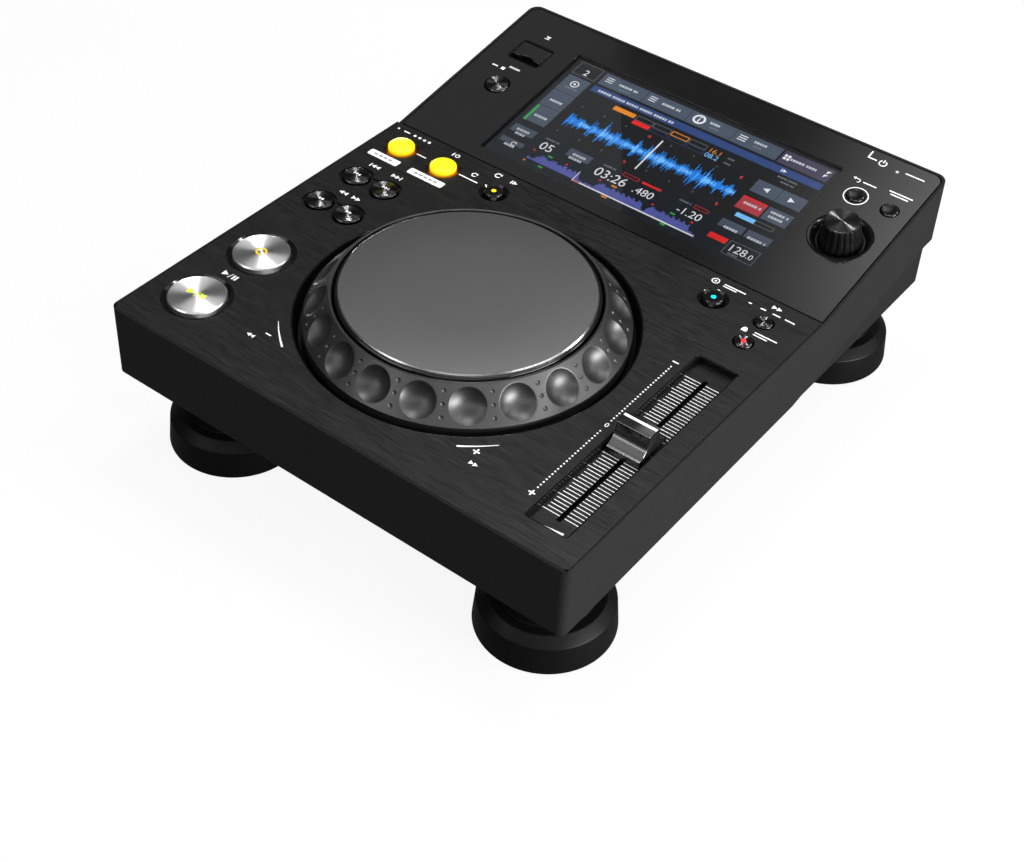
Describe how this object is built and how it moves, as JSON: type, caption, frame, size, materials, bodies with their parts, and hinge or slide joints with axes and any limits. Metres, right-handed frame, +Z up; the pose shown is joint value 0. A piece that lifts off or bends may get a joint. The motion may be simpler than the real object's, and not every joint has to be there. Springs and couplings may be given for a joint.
{
  "type": "dj media player",
  "caption": "Compact tabletop media player with a dimpled jog wheel, tempo fader, transport buttons and a tilted touch display, standing on tall round feet.",
  "frame": {"origin": "on the floor under the middle of the outline, so the foot pads stand on Z = 0", "axes": "+X to the player's right as its user faces it, +Y from the user to the rear connectors, +Z up"},
  "size_m": [0.243, 0.301, 0.1007],
  "materials": {
    "case_plastic": "fine moulded texture, satin",
    "deck_metal": "black, finely brushed from side to side",
    "gloss_black": "polished black",
    "screen_glass": "clear, polished",
    "lcd_frame": "dark, satin",
    "spun_metal": "spun, fine circular lines",
    "wheel_plastic": "satin dark grey",
    "black_button": "black, semi gloss",
    "amber_button": "translucent yellow, lit",
    "fader_plastic": "black, satin",
    "knob_plastic": "black, satin, fluted",
    "steel": "plain, plated",
    "bronze": "plain, machined",
    "inner_plastic": "black, plain",
    "board": "green solder mask",
    "light_pipe": "clear to milky",
    "jack_plating": "plated",
    "foot_plastic": "black, satin",
    "foot_rubber": "matt"
  },
  "bodies": {
    "chassis": {"upper_case": "case_plastic", "lower_case": "case_plastic", "deck_plate": "deck_metal", "display_plate": "gloss_black", "jog_well": "gloss_black", "left_bezel": "gloss_black", "right_bezel": "gloss_black", "fader_bed": "gloss_black", "selector_well": "gloss_black", "usb_well": "gloss_black", "screen_glass": "screen_glass", "lcd_module": "lcd_frame", "slide_pot": "steel", "encoder_body": "steel", "usb_socket": "steel", "case_screws": "steel", "rear_panel": "steel", "lan_jack": "steel", "usb_b_jack": "steel", "jog_bushing": "bronze", "ac_inlet": "inner_plastic", "left_board": "board", "right_board": "board", "display_board": "board", "main_board": "board", "power_board": "board", "light_pipes": "light_pipe", "rca_jacks": "jack_plating", "foot_front_left": "foot_plastic", "foot_front_right": "foot_plastic", "foot_rear_left": "foot_plastic", "foot_rear_right": "foot_plastic", "foot_pads": "foot_rubber"},
    "jog_wheel": {"jog_ring": "wheel_plastic", "jog_spindle": "steel"},
    "jog_plate": {"platter_rim": "gloss_black", "jog_platter": "spun_metal"},
    "play": {"play_button": "spun_metal"},
    "cue": {"cue_button": "spun_metal"},
    "search_back": {"search_back_button": "black_button"},
    "search_forward": {"search_forward_button": "black_button"},
    "track_back": {"track_back_button": "black_button"},
    "track_forward": {"track_forward_button": "black_button"},
    "loop_in": {"loop_in_button": "amber_button"},
    "loop_out": {"loop_out_button": "amber_button"},
    "reloop": {"reloop_button": "black_button"},
    "jog_mode": {"jog_mode_button": "black_button"},
    "tempo_range": {"tempo_range_button": "black_button"},
    "key_lock": {"key_lock_button": "black_button"},
    "usb_stop": {"usb_stop_button": "black_button"},
    "back": {"back_button": "black_button"},
    "tag": {"tag_button": "black_button"},
    "fader": {"fader_cap": "fader_plastic", "fader_lever": "steel"},
    "selector_rotor": {"encoder_rotor": "inner_plastic"},
    "selector": {"selector_knob": "knob_plastic", "selector_shaft": "steel"},
    "usb_flap": {"usb_door": "gloss_black"},
    "power": {"power_button": "black_button"}
  },
  "joints": [
    {"name": "jog_spin", "type": "hinge", "parent": "chassis", "child": "jog_wheel", "pos_m": [0, -0.0572, 0.0835], "axis": [0, 0, 1], "continuous": true},
    {"name": "platter_press", "type": "slide", "parent": "jog_wheel", "child": "jog_plate", "axis": [0, 0, -1], "range_m": [0, 0.0004], "stiffness_N_per_m": 4000, "springref_m": -0.0006},
    {"name": "play_press", "type": "slide", "parent": "chassis", "child": "play", "axis": [0, 0, -1], "range_m": [0, 0.0008], "stiffness_N_per_m": 1200, "springref_m": -0.0005},
    {"name": "cue_press", "type": "slide", "parent": "chassis", "child": "cue", "axis": [0, 0, -1], "range_m": [0, 0.0008], "stiffness_N_per_m": 1200, "springref_m": -0.0005},
    {"name": "search_back_press", "type": "slide", "parent": "chassis", "child": "search_back", "axis": [0, 0, -1], "range_m": [0, 0.0008], "stiffness_N_per_m": 900, "springref_m": -0.0005},
    {"name": "search_forward_press", "type": "slide", "parent": "chassis", "child": "search_forward", "axis": [0, 0, -1], "range_m": [0, 0.0008], "stiffness_N_per_m": 900, "springref_m": -0.0005},
    {"name": "track_back_press", "type": "slide", "parent": "chassis", "child": "track_back", "axis": [0, 0, -1], "range_m": [0, 0.0008], "stiffness_N_per_m": 900, "springref_m": -0.0005},
    {"name": "track_forward_press", "type": "slide", "parent": "chassis", "child": "track_forward", "axis": [0, 0, -1], "range_m": [0, 0.0008], "stiffness_N_per_m": 900, "springref_m": -0.0005},
    {"name": "loop_in_press", "type": "slide", "parent": "chassis", "child": "loop_in", "axis": [0, 0, -1], "range_m": [0, 0.0008], "stiffness_N_per_m": 900, "springref_m": -0.0005},
    {"name": "loop_out_press", "type": "slide", "parent": "chassis", "child": "loop_out", "axis": [0, 0, -1], "range_m": [0, 0.0008], "stiffness_N_per_m": 900, "springref_m": -0.0005},
    {"name": "reloop_press", "type": "slide", "parent": "chassis", "child": "reloop", "axis": [0, 0, -1], "range_m": [0, 0.0008], "stiffness_N_per_m": 900, "springref_m": -0.0005},
    {"name": "jog_mode_press", "type": "slide", "parent": "chassis", "child": "jog_mode", "axis": [0, 0, -1], "range_m": [0, 0.0008], "stiffness_N_per_m": 900, "springref_m": -0.0005},
    {"name": "tempo_range_press", "type": "slide", "parent": "chassis", "child": "tempo_range", "axis": [0, 0, -1], "range_m": [0, 0.0008], "stiffness_N_per_m": 900, "springref_m": -0.0005},
    {"name": "key_lock_press", "type": "slide", "parent": "chassis", "child": "key_lock", "axis": [0, 0, -1], "range_m": [0, 0.0008], "stiffness_N_per_m": 900, "springref_m": -0.0005},
    {"name": "usb_stop_press", "type": "slide", "parent": "chassis", "child": "usb_stop", "axis": [0, 0.1736, -0.9848], "range_m": [0, 0.0008], "stiffness_N_per_m": 900, "springref_m": -0.0005},
    {"name": "back_press", "type": "slide", "parent": "chassis", "child": "back", "axis": [0, 0.1736, -0.9848], "range_m": [0, 0.0008], "stiffness_N_per_m": 900, "springref_m": -0.0005},
    {"name": "tag_press", "type": "slide", "parent": "chassis", "child": "tag", "axis": [0, 0.1736, -0.9848], "range_m": [0, 0.0008], "stiffness_N_per_m": 900, "springref_m": -0.0005},
    {"name": "fader_slide", "type": "slide", "parent": "chassis", "child": "fader", "axis": [0, 1, 0], "range_m": [-0.05, 0.05]},
    {"name": "selector_turn", "type": "hinge", "parent": "chassis", "child": "selector_rotor", "pos_m": [0.099, 0.09011, 0.08961], "axis": [0, -0.1736, 0.9848], "continuous": true},
    {"name": "selector_press", "type": "slide", "parent": "selector_rotor", "child": "selector", "axis": [0, 0.1736, -0.9848], "range_m": [0, 0.0005], "stiffness_N_per_m": 1500, "springref_m": -0.0006},
    {"name": "usb_flap_hinge", "type": "hinge", "parent": "chassis", "child": "usb_flap", "pos_m": [-0.0984, 0.12321, 0.09453], "axis": [-1, 0, 0], "range_deg": [0, 95]},
    {"name": "power_press", "type": "slide", "parent": "chassis", "child": "power", "axis": [0, -1, 0], "range_m": [0, 0.0015], "stiffness_N_per_m": 600, "springref_m": -0.0008}
  ]
}
